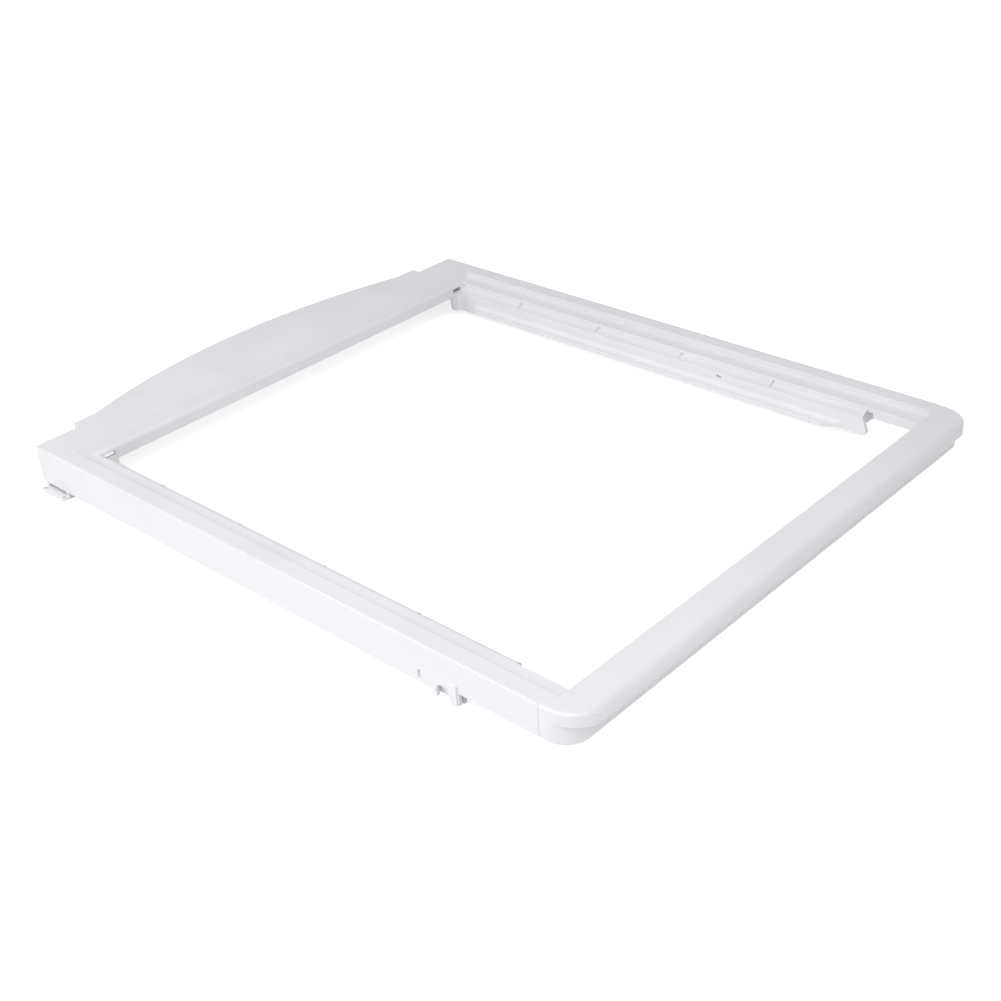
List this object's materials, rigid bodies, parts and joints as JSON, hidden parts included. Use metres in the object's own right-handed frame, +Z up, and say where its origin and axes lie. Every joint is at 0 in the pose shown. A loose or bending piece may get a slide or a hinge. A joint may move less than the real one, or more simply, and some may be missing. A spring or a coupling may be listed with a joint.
{
  "type": "crisper drawer cover",
  "caption": "Open rectangular moulded frame that covers a refrigerator crisper drawer: stepped seat for a glass pane, rounded front rail, arched back edge and inward drawer runners along both sides.",
  "frame": {"origin": "middle of the overall width and depth, on the plane of the feet", "axes": "+X to the right seen from the front, +Y from the rounded front rail to the arched back rail, +Z up"},
  "size_m": [0.441, 0.546, 0.033],
  "materials": {
    "white_polystyrene": "semi-gloss moulded high-impact polystyrene"
  },
  "bodies": {
    "root": {"cover_frame": "white_polystyrene"}
  },
  "joints": []
}
